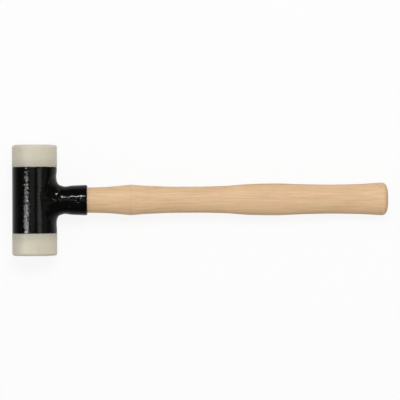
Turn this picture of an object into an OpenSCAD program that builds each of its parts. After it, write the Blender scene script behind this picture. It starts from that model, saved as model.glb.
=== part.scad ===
// Soft face hammer of the recoil-damping kind: a steel tube head charged with loose steel shot,
// two nylon faces that pull out of its ends, and an ash handle pinned into a welded socket.
// Millimetres. The hammer lies on its side, as it is put down: X runs along the handle from the head
// to the butt, Y along the striking axis and Z up. The origin is on the ground under its middle.

/* [Head tube] */
// Outer diameter of the steel tube
tube_d = 35; // [32:0.1:38]
// Wall of the steel tube
tube_wall = 3; // [2:0.1:4]
// Length of the steel tube along the striking axis
tube_length = 51.6; // [49:0.1:64]
// Chamfer on the tube's outer rims
tube_chamfer = 0.4; // [0.2:0.1:0.8]

/* [Nylon faces] */
// How far a face stands proud of the tube, all round
face_overhang = 0; // [0:0.1:1]
// Height of a face outside the tube
face_height = 17.3; // [12:0.1:25]
// Rounding of the striking rim
face_rim = 2; // [1:0.1:4]
// Chamfer at the foot of a face, where it meets the tube
face_chamfer = 0.5; // [0.2:0.1:1]
// Length of the spigot that sits in the tube
spigot_length = 9.6; // [6:0.1:11]
// Chamfer that leads the spigot into the tube
spigot_chamfer = 1; // [0.5:0.1:2]

/* [Shot chamber] */
// Thickness of the discs that close the shot chamber
disc_thickness = 2.5; // [1.5:0.1:3.5]
// Free space between a spigot and its disc
disc_clearance = 0.2; // [0.1:0.05:0.5]
// Balls of the steel shot that lie side by side across the chamber
shot_across = 5; // [3:2:7]
// Least free travel of the charge along the chamber
shot_travel = 6; // [4:0.5:12]

/* [Handle socket] */
// Reach of the socket's mouth from the striking axis
socket_reach = 41.1; // [37:0.1:50]
// Outer diameter of the socket at its neck
neck_d = 21.6; // [20.6:0.1:22.6]
// Outer diameter of the socket halfway, where its flare ends
flare_d = 22.9; // [22.2:0.1:23.5]
// Outer diameter of the socket at its mouth
mouth_d = 23.8; // [23:0.1:25.6]
// Where the flare starts, measured back from the mouth
flare_start = 17.1; // [14.5:0.1:18.5]
// Where the flare ends, measured back from the mouth
flare_end = 11.7; // [9.5:0.1:13.5]
// Wall of the socket
socket_wall = 2.05; // [1.5:0.05:2.5]
// Rounding of the mouth's outer rim
mouth_round = 0.6; // [0.3:0.1:1]

/* [Socket weld] */
// Leg of the weld up the neck, on the sides that face along the tube
weld_neck_leg = 5.8; // [3:0.1:6.4]
// Leg of the weld up the neck, on the sides that face round the tube
weld_side_leg = 4; // [2.5:0.1:5.5]
// Leg of the weld along the tube
weld_tube_leg = 7.6; // [3:0.1:9]
// Height of the weld's toes above the metal that it joins
weld_toe = 0.2; // [0.15:0.05:0.5]

/* [Handle pin] */
// Diameter of the slotted spring pin
pin_d = 4; // [3:0.1:5]
// Wall of the pin
pin_wall = 0.8; // [0.5:0.1:1]
// Width of the pin's slot
pin_slot = 0.8; // [0.5:0.1:1.2]
// Length of the pin
pin_length = 22; // [19.6:0.1:22.6]
// Where the pin crosses the socket, measured back from its mouth
pin_setback = 6.5; // [4.5:0.1:8.5]

/* [Handle] */
// Length of the handle from the socket's mouth to its butt
handle_length = 235.1; // [215:0.1:280]
// Ridge, as its place from the mouth
ridge_from_mouth = 33.9; // [28:0.1:40]
// Ridge, as its width along the striking axis
ridge_w = 23.9; // [22:0.1:26]
// Ridge, as its depth
ridge_d = 21.4; // [20:0.1:24]
// Start of the waist, from the mouth
waist_from_mouth = 70.2; // [62:0.2:80]
// Length of the waist
waist_length = 16; // [8:0.2:24]
// Waist, as its width
waist_w = 20.4; // [18:0.1:22]
// Waist, as its depth
waist_d = 17.2; // [15:0.1:19]
// Belly of the grip, from the butt
belly_from_butt = 88.4; // [80:0.2:96]
// Belly, as its width
belly_w = 24.9; // [23:0.1:28]
// Belly, as its depth
belly_d = 19.8; // [18:0.1:21]
// Throat of the grip, from the butt
throat_from_butt = 45; // [40:0.2:54]
// Throat, as its width
throat_w = 22.7; // [21:0.1:24]
// Throat, as its depth
throat_d = 18.4; // [17:0.1:19.6]
// Butt, as its width
butt_w = 25.5; // [24:0.1:29]
// Butt, as its depth
butt_d = 20.6; // [20:0.1:24]
// Length of the butt's domed end
butt_dome = 5.6; // [3:0.1:9]
// Free space between the tenon's end and the tube
tenon_end_gap = 1.2; // [0.5:0.1:3]

/* [Fits] */
// Radial clearance of a face's spigot in the tube
slide_gap = 0.05; // [0.02:0.01:0.1]
// Radial clearance where a piece is pressed or welded in place
press_gap = 0.02; // [0.01:0.01:0.05]
// Clearance between the weld's facets and the round metal under them
weld_gap = 0.08; // [0.06:0.01:0.12]
// Clearance of the balls from each other and from the tube
shot_gap = 0.05; // [0.03:0.01:0.1]
// Clearance of the charge from the disc that it lies against
shot_rest_gap = 0.3; // [0.1:0.1:0.5]

/* [Hidden] */

$fn = 96;
overlap = 1;

// Head sizes that follow from the tube
tube_r = tube_d / 2;
bore_r = tube_r - tube_wall;
face_r = tube_r + face_overhang;
disc_top = tube_length / 2 - spigot_length - disc_clearance;
chamber_half = disc_top - disc_thickness;

// Lattice of the steel shot: close-packed layers across the striking axis, as many as leave its travel
shot_d = (2 * bore_r - (shot_across + 1) * shot_gap) / shot_across;
shot_step = shot_d + shot_gap;
layer_step = shot_step * sqrt(2 / 3);
layer_room = 2 * (chamber_half - shot_rest_gap) - shot_travel - shot_d;
shot_layers = 1 + max(0, floor(layer_room / layer_step));
lattice_reach = shot_across;
shot_limit = bore_r - shot_d / 2 - shot_gap * 0.9;
first_layer = -chamber_half + shot_rest_gap + shot_d / 2;

// Socket sizes that follow from the neck and the mouth
neck_r = neck_d / 2;
neck_end = socket_reach - flare_start;
flare_stop = socket_reach - flare_end;
bore_slope = (mouth_d - neck_d) / 2 / flare_start;
function socket_bore_r(x) = neck_r - socket_wall + bore_slope * (x - neck_end);

// Handle places along X
handle_reach = socket_reach + handle_length;
butt_at = handle_reach - butt_dome;
ridge_at = socket_reach + ridge_from_mouth;
mouth_fit_d = 2 * (socket_bore_r(socket_reach) - press_gap);
tenon_start = tube_r + tenon_end_gap;
tenon_d = 2 * (socket_bore_r(tenon_start) - press_gap);

// The ground touches the faces' sides and the butt, so the handle slopes down towards the butt
butt_drop = butt_d / 2;
lay_angle = asin(face_r / norm([butt_at, butt_drop])) - atan2(butt_drop, butt_at);
middle = (handle_reach * cos(lay_angle) - face_r) / 2;

function between(a, b, share) = a + (b - a) * share;
// A station that steers the curve between two others, at shares of their distance and of their rise
function steered(a, b, along, rise) =
    [between(a[0], b[0], along), between(a[1], b[1], rise), between(a[2], b[2], rise)];

// Each station of the handle is its place, its width and its depth
tenon_station = [tenon_start, tenon_d, tenon_d];
mouth_station = [socket_reach, mouth_fit_d, mouth_fit_d];
ridge_station = [ridge_at, ridge_w, ridge_d];
waist_station = [socket_reach + waist_from_mouth, waist_w, waist_d];
waist_end_station = waist_station + [waist_length, 0, 0];
belly_station = [handle_reach - belly_from_butt, belly_w, belly_d];
throat_station = [handle_reach - throat_from_butt, throat_w, throat_d];
butt_station = [butt_at, butt_w, butt_d];
front_stations = [mouth_station, steered(mouth_station, ridge_station, 0.4, 0.16), ridge_station];
rear_stations = [
    ridge_station,
    steered(ridge_station, waist_station, 0.33, 0.52),
    waist_station,
    waist_end_station,
    steered(waist_end_station, belly_station, 0.33, 0.18),
    steered(waist_end_station, belly_station, 0.67, 0.83),
    belly_station,
    steered(belly_station, throat_station, 0.53, 0.68),
    throat_station,
    steered(throat_station, butt_station, 0.57, 0.31),
    butt_station,
];

// Facets of the handle: sides round it, sections between two stations, and sections of the dome
handle_sides = 36;
span_steps = 4;
dome_steps = 6;
// Superellipse exponents of the section at the round mouth, along the grip and of the dome
round_power = 2;
grip_power = 2.3;
dome_power = 3;

// Monotone cubic through stations, for column c of them
function chord(s, i, c) = (s[i + 1][c] - s[i][c]) / (s[i + 1][0] - s[i][0]);
function slope(s, i, c) =
    i == 0 ? chord(s, 0, c) :
    i == len(s) - 1 ? chord(s, i - 1, c) :
    let (before = chord(s, i - 1, c), after = chord(s, i, c))
    before * after <= 0 ? 0 : 2 * before * after / (before + after);
function hermite(s, i, t, c) =
    let (run = s[i + 1][0] - s[i][0])
    s[i][c] * (1 + 2 * t) * pow(1 - t, 2) + run * slope(s, i, c) * t * pow(1 - t, 2)
    + s[i + 1][c] * t * t * (3 - 2 * t) - run * slope(s, i + 1, c) * t * t * (1 - t);
function faired(s, steps) = [
    for (i = [0 : len(s) - 2], k = [0 : steps - 1])
        let (t = k / steps)
        [between(s[i][0], s[i + 1][0], t), hermite(s, i, t, 1), hermite(s, i, t, 2)]
];
dome = [
    for (k = [0 : dome_steps])
        let (angle = 90 * k / dome_steps, shrink = pow(cos(angle * 0.96), 2 / dome_power))
        [butt_at + butt_dome * pow(sin(angle), 2 / dome_power), butt_w * shrink, butt_d * shrink]
];
handle_sections = concat(
    [tenon_station],
    faired(front_stations, span_steps),
    faired(rear_stations, span_steps),
    dome
);

// One section of the handle: round up to the mouth, then a rounded oval
function section_power(x) =
    let (share = min(1, max(0, (x - socket_reach) / ridge_from_mouth)))
    between(round_power, grip_power, share);
function signed_power(v, p) = sign(v) * pow(abs(v), p);
function section_points(s) = [
    for (k = [0 : handle_sides - 1])
        let (angle = 360 * k / handle_sides, p = 2 / section_power(s[0]))
        [s[0], s[1] / 2 * signed_power(cos(angle), p), s[2] / 2 * signed_power(sin(angle), p)]
];

// Triangles of a skin through rings of points; closed joins the last ring to the first
function skin_faces(rings, sides, closed) = [
    for (r = [0 : rings - (closed ? 1 : 2)], k = [0 : sides - 1])
        let (a = r * sides, b = ((r + 1) % rings) * sides, n = (k + 1) % sides)
        each [[a + k, a + n, b + n], [a + k, b + n, b + k]]
];
function ring_cap(start, sides, turned) = [
    [for (k = [0 : sides - 1]) start + (turned ? sides - 1 - k : k)]
];

// The weld's section in the plane at an angle round the neck
weld_turns = 60;
weld_arc_steps = 6;
weld_foot_steps = 5;
function tube_surface(reach, angle) = sqrt(pow(tube_r, 2) - pow(reach * sin(angle), 2));
function weld_toe_reach(angle) =
    let (middle_reach = neck_r + weld_tube_leg / 3)
    neck_r + weld_tube_leg * sqrt(1 - pow(middle_reach * sin(angle) / tube_r, 2));
function weld_leg(angle) = between(weld_neck_leg, weld_side_leg, pow(sin(angle), 2));
// The weld runs out along the tube's surface at its toe, and up the neck at its top
function weld_arc(angle) =
    let (reach = weld_toe_reach(angle),
         foot = [reach, tube_surface(reach, angle) + weld_toe],
         fall = reach * pow(sin(angle), 2) / tube_surface(reach, angle),
         corner = [neck_r + weld_toe, foot[1] + fall * (reach - neck_r - weld_toe)],
         top = corner + [0, weld_leg(angle)])
    [for (k = [0 : weld_arc_steps])
        let (t = k / weld_arc_steps)
        top * pow(1 - t, 2) + corner * 2 * t * (1 - t) + foot * t * t];
function weld_foot(angle) = [
    for (k = [0 : weld_foot_steps])
        let (reach = between(weld_toe_reach(angle), neck_r + weld_gap, k / weld_foot_steps))
        [reach, tube_surface(reach, angle) + weld_gap]
];
function weld_section(angle) =
    let (arc = weld_arc(angle))
    concat(arc, weld_foot(angle), [[neck_r + weld_gap, arc[0][1]]]);
weld_sides = weld_arc_steps + 1 + weld_foot_steps + 1 + 1;

// Places a piece drawn about the head's middle on the ground
module on_ground() {
    translate([-middle, 0, face_r])
        rotate([0, lay_angle, 0])
            children();
}

// Turns an outline of [radius, height] points about the striking axis
module turned_on_y(outline) {
    rotate([-90, 0, 0])
        rotate_extrude()
            polygon(outline);
}

// Turns an outline of [radius, reach] points about the handle's axis
module turned_on_x(outline) {
    rotate([0, 90, 0])
        rotate_extrude()
            polygon(outline);
}

// Rounded outer corner of an outline, from the side to the end
function rim_arc(side, end, radius, steps = 8) = [
    for (k = [0 : steps])
        let (angle = 90 * k / steps)
        [side - radius * (1 - cos(angle)), end - radius * (1 - sin(angle))]
];

// The drilled way of the pin across the socket and the tenon
module pin_way(gap) {
    translate([socket_reach - pin_setback, 0, 0])
        cylinder(d = pin_d + 2 * gap, h = 2 * mouth_d, center = true);
}

module head_tube() {
    end = tube_length / 2;
    color("#161616")
        on_ground()
            turned_on_y([
                [bore_r, -end],
                [tube_r - tube_chamfer, -end],
                [tube_r, -end + tube_chamfer],
                [tube_r, end - tube_chamfer],
                [tube_r - tube_chamfer, end],
                [bore_r, end],
            ]);
}

// A nylon face, drawn as the back one
module nylon_face() {
    foot = tube_length / 2;
    tip = foot + face_height;
    spigot_r = bore_r - slide_gap;
    rotate([-90, 0, 0])
        rotate_extrude() {
            polygon([
                [0, foot - spigot_length],
                [spigot_r - spigot_chamfer, foot - spigot_length],
                [spigot_r, foot - spigot_length + spigot_chamfer],
                [spigot_r, foot],
                [face_r - face_chamfer, foot],
                [face_r, foot + face_chamfer],
                [face_r, tip - face_rim],
                [face_r - face_rim, tip - face_rim],
                [face_r - face_rim, tip],
                [0, tip],
            ]);
            translate([face_r - face_rim, tip - face_rim])
                intersection() {
                    circle(r = face_rim);
                    square(face_rim);
                }
        }
}

module back_face() {
    color("#d5cdb9")
        on_ground()
            nylon_face();
}

module front_face() {
    color("#d5cdb9")
        on_ground()
            mirror([0, 1, 0])
                nylon_face();
}

// A steel disc that closes the chamber, drawn as the back one
module chamber_disc() {
    rim = bore_r - press_gap;
    turned_on_y([[0, chamber_half], [rim, chamber_half], [rim, disc_top], [0, disc_top]]);
}

module back_disc() {
    color("#8f9296")
        on_ground()
            chamber_disc();
}

module front_disc() {
    color("#8f9296")
        on_ground()
            mirror([0, 1, 0])
                chamber_disc();
}

// Every second layer sits in the hollows of the one below it
function layer_shift(layer) = layer % 2 == 0 ? [0, 0] : [shot_step / 2, shot_step / sqrt(12)];
function layer_balls(layer) = [
    for (i = [-lattice_reach : lattice_reach], j = [-lattice_reach : lattice_reach])
        let (place = [shot_step * (i + j / 2), shot_step * j * sqrt(3) / 2] + layer_shift(layer))
        if (norm(place) <= shot_limit) place
];

module steel_shot() {
    color("#9a9da1")
        on_ground()
            for (layer = [0 : shot_layers - 1], place = layer_balls(layer))
                translate([place[0], first_layer + layer * layer_step, place[1]])
                    sphere(d = shot_d, $fn = 32);
}

module handle_socket() {
    flare_run = flare_stop - neck_end;
    flare = [
        for (k = [0 : 8])
            let (t = k / 8)
            [between(neck_r, flare_d / 2, t * t * (3 - 2 * t)), neck_end + flare_run * t]
    ];
    color("#161616")
        on_ground()
            difference() {
                turned_on_x(concat(
                    [[socket_bore_r(0), 0], [neck_r, 0]],
                    flare,
                    rim_arc(mouth_d / 2, socket_reach, mouth_round),
                    [[socket_bore_r(socket_reach), socket_reach]]
                ));
                rotate([90, 0, 0])
                    cylinder(r = tube_r + press_gap, h = tube_length, center = true);
                pin_way(press_gap);
            }
}

module socket_weld() {
    points = [
        for (turn = [0 : weld_turns - 1])
            let (angle = 360 * turn / weld_turns)
            for (p = weld_section(angle)) [p[1], p[0] * cos(angle), p[0] * sin(angle)]
    ];
    color("#161616")
        on_ground()
            polyhedron(points, skin_faces(weld_turns, weld_sides, true), convexity = 6);
}

module handle_pin() {
    inner_d = pin_d - 2 * pin_wall;
    color("#2a2a2a")
        on_ground()
            translate([socket_reach - pin_setback, 0, 0])
                difference() {
                    cylinder(d = pin_d, h = pin_length, center = true);
                    cylinder(d = inner_d, h = pin_length + 2 * overlap, center = true);
                    translate([0, -pin_slot / 2, -pin_length / 2 - overlap])
                        cube([pin_d, pin_slot, pin_length + 2 * overlap]);
                }
}

module handle() {
    rings = len(handle_sections);
    points = [for (s = handle_sections) each section_points(s)];
    faces = concat(
        skin_faces(rings, handle_sides, false),
        ring_cap(0, handle_sides, true),
        ring_cap((rings - 1) * handle_sides, handle_sides, false)
    );
    color("#dcb98f")
        on_ground()
            difference() {
                polyhedron(points, faces, convexity = 4);
                pin_way(press_gap);
            }
}

head_tube();
back_face();
front_face();
back_disc();
front_disc();
steel_shot();
handle_socket();
socket_weld();
handle_pin();
handle();
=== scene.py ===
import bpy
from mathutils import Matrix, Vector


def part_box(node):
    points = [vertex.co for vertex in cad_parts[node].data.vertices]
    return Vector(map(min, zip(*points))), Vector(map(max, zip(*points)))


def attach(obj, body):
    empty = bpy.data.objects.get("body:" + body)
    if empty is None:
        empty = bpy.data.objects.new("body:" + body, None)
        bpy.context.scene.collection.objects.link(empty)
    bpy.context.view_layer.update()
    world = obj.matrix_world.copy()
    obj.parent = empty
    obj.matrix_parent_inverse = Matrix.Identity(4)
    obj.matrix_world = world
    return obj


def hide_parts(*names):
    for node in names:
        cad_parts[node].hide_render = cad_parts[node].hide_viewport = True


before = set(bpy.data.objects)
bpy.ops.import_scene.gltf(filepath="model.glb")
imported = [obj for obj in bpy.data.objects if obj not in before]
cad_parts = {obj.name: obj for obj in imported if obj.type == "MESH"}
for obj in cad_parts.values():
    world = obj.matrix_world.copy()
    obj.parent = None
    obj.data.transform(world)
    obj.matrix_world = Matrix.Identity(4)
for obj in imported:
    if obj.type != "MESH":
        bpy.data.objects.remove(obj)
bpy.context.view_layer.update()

from math import asin, atan2, cos, exp, hypot, pi, radians, sin, sqrt

import bmesh
import bpy
from bpy.props import FloatProperty, FloatVectorProperty, IntProperty, PointerProperty
from mathutils import Matrix, Vector, noise

bl_info = {
    "name": "Soft face hammer",
    "version": (1, 0, 0),
    "blender": (4, 5, 0),
    "location": "3D View > Sidebar > Hammer",
    "description": "Dresses a soft face hammer: lacquered tube head, nylon faces and ash handle",
    "category": "Add Mesh",
}

MM = 0.001
WELD_TOLERANCE = 1e-6
PRESS_GAP = 0.02 * MM


def box_of(node):
    """Lowest and highest corner of a solid, as vectors."""
    low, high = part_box(node)
    return Vector(low), Vector(high)


TUBE_LOW, TUBE_HIGH = box_of("head_tube")
BACK_LOW, BACK_HIGH = box_of("back_face")
HEAD_MIDDLE = (TUBE_LOW + TUBE_HIGH) / 2
TUBE_END = TUBE_HIGH.y


# Settings that a user would change


def length(label, words, default):
    return FloatProperty(
        name=label, description=words, default=default, min=0.0, unit="LENGTH", precision=5
    )


def colour(label, words, default):
    return FloatVectorProperty(
        name=label, description=words, default=default, size=3, min=0.0, max=1.0, subtype="COLOR"
    )


def power(label, words, default):
    return FloatProperty(name=label, description=words, default=default, min=0.0, unit="POWER")


class HammerHeadSettings(bpy.types.PropertyGroup):
    """Sizes of the tube and of the nylon faces in its ends."""

    tube_diameter: length("Tube diameter", "Outer diameter of the steel tube", TUBE_HIGH.x - TUBE_LOW.x)
    tube_wall: length("Tube wall", "Wall of the steel tube", 3 * MM)
    tube_rim: length("Tube rim", "Rounding of the tube's rims", 0.4 * MM)
    weld_draw: length("Weld draw", "Depth of the hollow that the weld drew in the tube around it", 0.5 * MM)
    pebble_height: length("Pebble height", "Height of the lacquer's pebbled skin", 0.085 * MM)
    pebble_size: length("Pebble size", "Distance between two pebbles of that skin", 1.5 * MM)
    face_diameter: length("Face diameter", "Diameter of a nylon face", BACK_HIGH.x - BACK_LOW.x)
    face_height: length("Face height", "Height of a face outside the tube", BACK_HIGH.y - TUBE_END)
    face_rim: length("Face rim", "Rounding of the striking rim", 2 * MM)
    face_foot: length("Face foot", "Rounding of a face's foot against the tube", 0.5 * MM)
    spigot_length: length("Spigot length", "Length of the spigot in the tube", TUBE_END - BACK_LOW.y)
    spigot_lead: length("Spigot lead", "Chamfer that leads the spigot in", 1 * MM)
    spigot_gap: length("Spigot gap", "Radial clearance of the spigot in the tube", 0.05 * MM)
    segments: IntProperty(name="Segments", description="Sides of a turned piece", default=128, min=24)


class HammerSocketSettings(bpy.types.PropertyGroup):
    """Sizes of the handle socket, its weld and its pin."""

    reach: length("Reach", "Reach of the mouth from the striking axis", 41.1 * MM)
    neck_diameter: length("Neck diameter", "Outer diameter at the neck", 21.6 * MM)
    flare_diameter: length("Flare diameter", "Outer diameter where the flare ends", 22.9 * MM)
    mouth_diameter: length("Mouth diameter", "Outer diameter at the mouth", 23.8 * MM)
    flare_start: length("Flare start", "Start of the flare, back from the mouth", 17.1 * MM)
    flare_end: length("Flare end", "End of the flare, back from the mouth", 11.7 * MM)
    wall: length("Wall", "Wall of the socket", 2.05 * MM)
    lip_depth: length("Lip depth", "Depth of the rounded lip at the mouth", 1 * MM)
    lip_length: length("Lip length", "Length of the rounded lip at the mouth", 1.2 * MM)
    weld_neck_leg: length("Weld neck leg", "Leg of the weld up the neck, along the tube", 5.8 * MM)
    weld_side_leg: length("Weld side leg", "Leg of the weld up the neck, round the tube", 4 * MM)
    weld_tube_leg: length("Weld tube leg", "Leg of the weld along the tube", 7.6 * MM)
    weld_ripple: length("Weld ripple", "Unevenness of the weld's skin", 0.07 * MM)
    weld_crest: length("Weld crest", "Height of the crest that the weld has along the neck", 0.3 * MM)
    weld_stop: length("Weld stop", "Height of the lumps where the weld stops", 0.7 * MM)
    pin_diameter: length("Pin diameter", "Diameter of the slotted spring pin", 4 * MM)
    pin_wall: length("Pin wall", "Wall of the pin", 0.8 * MM)
    pin_slot: length("Pin slot", "Width of the pin's slot", 0.8 * MM)
    pin_length: length("Pin length", "Length of the pin", 22 * MM)
    pin_bead: length("Pin bead", "Height of the bead of lacquer round the pin's ends", 0.22 * MM)
    pin_setback: length("Pin setback", "Place of the pin, back from the mouth", 6.5 * MM)


class HammerHandleSettings(bpy.types.PropertyGroup):
    """Sizes of the ash handle, measured from the socket's mouth or from the butt."""

    handle_length: length("Length", "Length from the mouth to the butt", 235.1 * MM)
    ridge_from_mouth: length("Ridge place", "Place of the ridge from the mouth", 33.9 * MM)
    ridge_width: length("Ridge width", "Width at the ridge", 23.9 * MM)
    ridge_depth: length("Ridge depth", "Depth at the ridge", 21.4 * MM)
    waist_from_mouth: length("Waist place", "Start of the waist from the mouth", 70.2 * MM)
    waist_length: length("Waist length", "Length of the waist", 16 * MM)
    waist_width: length("Waist width", "Width at the waist", 20.4 * MM)
    waist_depth: length("Waist depth", "Depth at the waist", 17.2 * MM)
    belly_from_butt: length("Belly place", "Place of the belly from the butt", 88.4 * MM)
    belly_width: length("Belly width", "Width at the belly", 24.9 * MM)
    belly_depth: length("Belly depth", "Depth at the belly", 19.8 * MM)
    throat_from_butt: length("Throat place", "Place of the throat from the butt", 45 * MM)
    throat_width: length("Throat width", "Width at the throat", 22.7 * MM)
    throat_depth: length("Throat depth", "Depth at the throat", 18.4 * MM)
    butt_width: length("Butt width", "Width at the butt", 25.5 * MM)
    butt_depth: length("Butt depth", "Depth at the butt", 20.6 * MM)
    butt_dome: length("Butt dome", "Length of the domed end", 5.6 * MM)
    tenon_gap: length("Tenon gap", "Free space between the tenon and the tube", 1.2 * MM)
    fit_gap: length("Fit gap", "Radial clearance of the tenon in the socket", 0.02 * MM)
    sides: IntProperty(name="Sides", description="Sides round the handle", default=80, min=16)
    span_steps: IntProperty(name="Span steps", description="Sections between stations", default=18, min=4)


class HammerShotSettings(bpy.types.PropertyGroup):
    """Sizes of the loose steel shot in the head."""

    across: IntProperty(name="Across", description="Balls side by side in the chamber", default=5, min=3)
    layers: IntProperty(name="Layers", description="Layers of balls in the charge", default=4, min=1)
    gap: length("Gap", "Clearance of the balls from each other and from the tube", 0.05 * MM)


class HammerFinishSettings(bpy.types.PropertyGroup):
    """Colours of the hammer's finishes."""

    lacquer: colour("Lacquer", "Black lacquer on the head", (0.0036, 0.0036, 0.0033))
    nylon: colour("Nylon", "Natural nylon of the faces", (0.692, 0.65, 0.531))
    ash_pale: colour("Ash, pale", "Late wood of the ash handle", (0.84, 0.575, 0.345))
    ash_dark: colour("Ash, dark", "Early wood and pores of the ash handle", (0.63, 0.406, 0.223))
    bare_steel: colour("Bare steel", "Closing discs and shot", (0.42, 0.43, 0.44))


class HammerStageSettings(bpy.types.PropertyGroup):
    """Camera, floor and lights."""

    view_width: length("View width", "Width that the camera sees at the hammer's height", 312 * MM)
    camera_distance: length("Camera distance", "Height of the camera above the hammer", 1.6)
    camera_roll: FloatProperty(
        name="Camera roll",
        description="Turn of the picture against the hammer, to the left",
        default=radians(0.235),
        subtype="ANGLE",
    )
    key_power: power("Key light", "Power of the soft key light", 10.1)
    bright_power: power("Bright card", "Power of the narrow card in the socket's highlight", 8.6)
    line_power: power("Line card", "Power of the long card beside the bright one", 7.0)
    side_power: power("Side card", "Power of the card in the tube's highlight", 25.0)
    top_power: power("Top card", "Power of the card in the tube's dull band", 1.8)
    glow_power: power("Glow card", "Power of the low card in the tail of the dull band", 0.29)
    dim_power: power("Dim card", "Power of the card right above the head", 0.58)
    rear_power: power("Rear card", "Power of the low card that the tube shows from behind", 4.4)
    sky: FloatProperty(name="Sky", description="Strength of the even light from above", default=0.46)
    floor_colour: colour("Floor", "Colour of the floor", (0.9, 0.9, 0.9))


# Small helpers


def between(a, b, share):
    return a + (b - a) * share


def clamped(value, low, high):
    return max(low, min(high, value))


def smooth_share(t):
    return t * t * (3 - 2 * t)


def hump(value, middle, width):
    return exp(-(((value - middle) / width) ** 2))


def arc(middle, radius, start, stop, steps):
    """Points of an arc in an outline, from one angle to another in degrees."""
    turns = [radians(between(start, stop, k / steps)) for k in range(steps + 1)]
    return [(middle[0] + radius * cos(a), middle[1] + radius * sin(a)) for a in turns]


def evenly(start, stop, steps):
    """Points between two points of an outline, without its two ends."""
    shares = [k / steps for k in range(1, steps)]
    return [(between(start[0], stop[0], s), between(start[1], stop[1], s)) for s in shares]


def lay_angle(head, socket, handle):
    """Slope of the handle when the faces and the butt lie on the ground."""
    radius = head.face_diameter / 2
    butt_at = socket.reach + handle.handle_length - handle.butt_dome
    drop = handle.butt_depth / 2
    return asin(radius / hypot(butt_at, drop)) - atan2(drop, butt_at)


def lay_matrix(scene):
    """Moves what is drawn about the head's middle to where the hammer lies."""
    slope = lay_angle(scene.hammer_head, scene.hammer_socket, scene.hammer_handle)
    return Matrix.Translation(HEAD_MIDDLE) @ Matrix.Rotation(slope, 4, "Y")


def point_mesh(name, points):
    """A mesh of loose points, which a node tree reads as its stations."""
    mesh = bpy.data.meshes.new(name)
    mesh.from_pydata([tuple(p) + (0.0,) * (3 - len(p)) for p in points], [], [])
    return mesh


def add_object(name, mesh):
    piece = bpy.data.objects.new(name, mesh)
    bpy.context.scene.collection.objects.link(piece)
    return piece


def grown(name, tree, points, values):
    """The plain mesh that a node tree makes from stations, as a new object."""
    piece = add_object(name, point_mesh(name, points))
    modifier = piece.modifiers.new("Grow", "NODES")
    modifier.node_group = tree
    for item in tree.interface.items_tree:
        if item.item_type == "SOCKET" and item.in_out == "INPUT" and item.name in values:
            modifier[item.identifier] = values[item.name]
    settle(piece)
    return piece


def settle(piece):
    """Turns a piece's modifiers into plain mesh."""
    graph = bpy.context.evaluated_depsgraph_get()
    mesh = bpy.data.meshes.new_from_object(piece.evaluated_get(graph), depsgraph=graph)
    stale = piece.data
    piece.modifiers.clear()
    piece.data = mesh
    bpy.data.meshes.remove(stale)
    mesh.name = piece.name


def cleaned(piece, sharp_from=40):
    """Merges doubles, turns the faces outwards and keeps only real corners sharp."""
    shape = bmesh.new()
    shape.from_mesh(piece.data)
    bmesh.ops.remove_doubles(shape, verts=shape.verts, dist=WELD_TOLERANCE)
    bmesh.ops.dissolve_degenerate(shape, edges=shape.edges, dist=WELD_TOLERANCE)
    bmesh.ops.recalc_face_normals(shape, faces=shape.faces)
    shape.to_mesh(piece.data)
    shape.free()
    piece.data.shade_smooth()
    piece.data.set_sharp_from_angle(angle=radians(sharp_from))


def mesh_of(shape, name):
    """A new mesh of a shape, which is freed."""
    mesh = bpy.data.meshes.new(name)
    shape.to_mesh(mesh)
    shape.free()
    return mesh


def bridge(shape, pairs):
    """Lays quads between the points of each pair of rings."""
    for low, high in pairs:
        for k in range(len(low)):
            after = (k + 1) % len(low)
            shape.faces.new((low[k], low[after], high[after], high[k]))


def drilled(piece, socket):
    """Cuts the pin's way across a piece."""
    radius = socket.pin_diameter / 2 + PRESS_GAP
    shape = bmesh.new()
    bmesh.ops.create_cone(
        shape,
        cap_ends=True,
        segments=48,
        radius1=radius,
        radius2=radius,
        depth=2 * socket.mouth_diameter,
        matrix=Matrix.Translation((socket.reach - socket.pin_setback, 0, 0)),
    )
    mesh = mesh_of(shape, "Pin way")
    cutter = add_object("Pin way", mesh)
    cut = piece.modifiers.new("Pin way", "BOOLEAN")
    cut.operation = "DIFFERENCE"
    cut.solver = "EXACT"
    cut.object = cutter
    settle(piece)
    bpy.data.objects.remove(cutter)
    bpy.data.meshes.remove(mesh)


def stand(piece, node, body, scene, material):
    """Lays a finished piece in its place and ties it to the solid that it stands for."""
    piece.data.transform(lay_matrix(scene))
    piece.data.materials.clear()
    piece.data.materials.append(material)
    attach(piece, body)
    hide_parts(node)


# Node trees


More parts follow.
